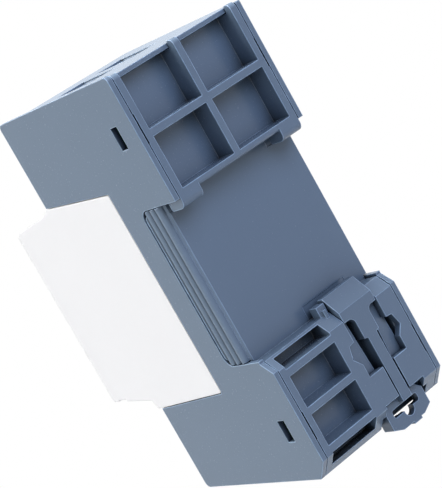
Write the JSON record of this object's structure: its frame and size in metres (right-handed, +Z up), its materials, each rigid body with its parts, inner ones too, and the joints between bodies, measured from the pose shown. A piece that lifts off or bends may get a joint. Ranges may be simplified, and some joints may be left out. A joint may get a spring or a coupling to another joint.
{
  "type": "din rail timer",
  "caption": "Narrow rail-mounted timer in blue-grey plastic with a white stepped front, pocketed rear blocks and a sliding rail clip.",
  "frame": {"origin": "middle of the flat rail seat between the two rear blocks", "axes": "+X across the width, +Y out of the back towards the rail, +Z up"},
  "size_m": [0.036, 0.0652, 0.093],
  "materials": {
    "housing_plastic": "fine moulded texture, satin",
    "base_plastic": "smooth moulded, satin",
    "clip_plastic": "smooth moulded, satin",
    "cover_plastic": "white, light satin",
    "clear_plastic": "clear polycarbonate",
    "lens_plastic": "clear",
    "frame_plastic": "matt black",
    "display_glass": "grey-green reflective display",
    "strip_rubber": "striped silicone",
    "board_laminate": "green solder resist",
    "switch_metal": "plated",
    "led_plastic": "tinted epoxy",
    "chip_plastic": "matt",
    "spring_brass": "tinned brass",
    "relay_plastic": "moulded",
    "film_box": "moulded box",
    "capacitor_sleeve": "shrunk sleeve",
    "varistor_coat": "dipped coat",
    "key_plastic": "moulded caps",
    "plated_steel": "zinc plated"
  },
  "bodies": {
    "housing": {"housing_shell": "housing_plastic", "rear_base": "base_plastic", "front_cover": "cover_plastic", "window_lens": "lens_plastic", "lcd_frame": "frame_plastic", "lcd_panel": "display_glass", "contact_strips": "strip_rubber", "front_board": "board_laminate", "key_switches": "switch_metal", "light_pipe": "lens_plastic", "status_led": "led_plastic", "controller_chip": "chip_plastic", "crystal": "switch_metal", "backup_cell": "switch_metal", "cell_holder": "spring_brass", "main_board": "board_laminate", "board_header": "spring_brass", "relay": "relay_plastic", "film_capacitor": "film_box", "smoothing_capacitor": "capacitor_sleeve", "varistor": "varistor_coat", "fuse_resistor": "varistor_coat", "bridge_rectifier": "chip_plastic", "upper_terminal_block": "base_plastic", "lower_terminal_block": "base_plastic", "upper_contact_bars": "spring_brass", "lower_contact_bars": "spring_brass"},
    "flap": {"flap": "clear_plastic"},
    "key_1": {"key_1": "key_plastic"},
    "key_2": {"key_2": "key_plastic"},
    "key_3": {"key_3": "key_plastic"},
    "key_4": {"key_4": "key_plastic"},
    "key_5": {"key_5": "key_plastic"},
    "key_6": {"key_6": "key_plastic"},
    "screw_1": {"screw_1": "plated_steel"},
    "screw_2": {"screw_2": "plated_steel"},
    "screw_3": {"screw_3": "plated_steel"},
    "screw_4": {"screw_4": "plated_steel"},
    "screw_5": {"screw_5": "plated_steel"},
    "clamp_1": {"clamp_1": "plated_steel"},
    "clamp_2": {"clamp_2": "plated_steel"},
    "clamp_3": {"clamp_3": "plated_steel"},
    "clamp_4": {"clamp_4": "plated_steel"},
    "clamp_5": {"clamp_5": "plated_steel"},
    "clip": {"rail_clip": "clip_plastic"}
  },
  "joints": [
    {"name": "clip_slide", "type": "slide", "parent": "housing", "child": "clip", "axis": [0, 0, -1], "range_m": [0, 0.004], "stiffness_N_per_m": 400},
    {"name": "flap_hinge", "type": "hinge", "parent": "housing", "child": "flap", "pos_m": [0, -0.0576, 0.0188], "axis": [-1, 0, 0], "range_deg": [0, 110]},
    {"name": "key_1_press", "type": "slide", "parent": "housing", "child": "key_1", "axis": [0, 1, 0], "range_m": [0, 0.00045], "stiffness_N_per_m": 400},
    {"name": "key_2_press", "type": "slide", "parent": "housing", "child": "key_2", "axis": [0, 1, 0], "range_m": [0, 0.00045], "stiffness_N_per_m": 400},
    {"name": "key_3_press", "type": "slide", "parent": "housing", "child": "key_3", "axis": [0, 1, 0], "range_m": [0, 0.00045], "stiffness_N_per_m": 400},
    {"name": "key_4_press", "type": "slide", "parent": "housing", "child": "key_4", "axis": [0, 1, 0], "range_m": [0, 0.00045], "stiffness_N_per_m": 400},
    {"name": "key_5_press", "type": "slide", "parent": "housing", "child": "key_5", "axis": [0, 1, 0], "range_m": [0, 0.00045], "stiffness_N_per_m": 400},
    {"name": "key_6_press", "type": "slide", "parent": "housing", "child": "key_6", "axis": [0, 1, 0], "range_m": [0, 0.00045], "stiffness_N_per_m": 400},
    {"name": "screw_1_turn", "type": "hinge", "parent": "housing", "child": "screw_1", "pos_m": [-0.0055, -0.0378, 0.0378], "axis": [0, 1, 0], "range_deg": [0, 2880]},
    {"name": "clamp_1_lift", "type": "slide", "parent": "housing", "child": "clamp_1", "axis": [0, -1, 0], "range_m": [0, 0.004]},
    {"name": "screw_2_turn", "type": "hinge", "parent": "housing", "child": "screw_2", "pos_m": [0.0055, -0.0378, 0.0378], "axis": [0, 1, 0], "range_deg": [0, 2880]},
    {"name": "clamp_2_lift", "type": "slide", "parent": "housing", "child": "clamp_2", "axis": [0, -1, 0], "range_m": [0, 0.004]},
    {"name": "screw_3_turn", "type": "hinge", "parent": "housing", "child": "screw_3", "pos_m": [-0.011, -0.0378, -0.0378], "axis": [0, 1, 0], "range_deg": [0, 2880]},
    {"name": "clamp_3_lift", "type": "slide", "parent": "housing", "child": "clamp_3", "axis": [0, -1, 0], "range_m": [0, 0.004]},
    {"name": "screw_4_turn", "type": "hinge", "parent": "housing", "child": "screw_4", "pos_m": [0, -0.0378, -0.0378], "axis": [0, 1, 0], "range_deg": [0, 2880]},
    {"name": "clamp_4_lift", "type": "slide", "parent": "housing", "child": "clamp_4", "axis": [0, -1, 0], "range_m": [0, 0.004]},
    {"name": "screw_5_turn", "type": "hinge", "parent": "housing", "child": "screw_5", "pos_m": [0.011, -0.0378, -0.0378], "axis": [0, 1, 0], "range_deg": [0, 2880]},
    {"name": "clamp_5_lift", "type": "slide", "parent": "housing", "child": "clamp_5", "axis": [0, -1, 0], "range_m": [0, 0.004]}
  ],
  "couplings": [
    {"joint": "screw_1_turn", "follows": "clamp_1_lift", "rad_per_m": 12566},
    {"joint": "screw_2_turn", "follows": "clamp_2_lift", "rad_per_m": 12566},
    {"joint": "screw_3_turn", "follows": "clamp_3_lift", "rad_per_m": 12566},
    {"joint": "screw_4_turn", "follows": "clamp_4_lift", "rad_per_m": 12566},
    {"joint": "screw_5_turn", "follows": "clamp_5_lift", "rad_per_m": 12566}
  ]
}
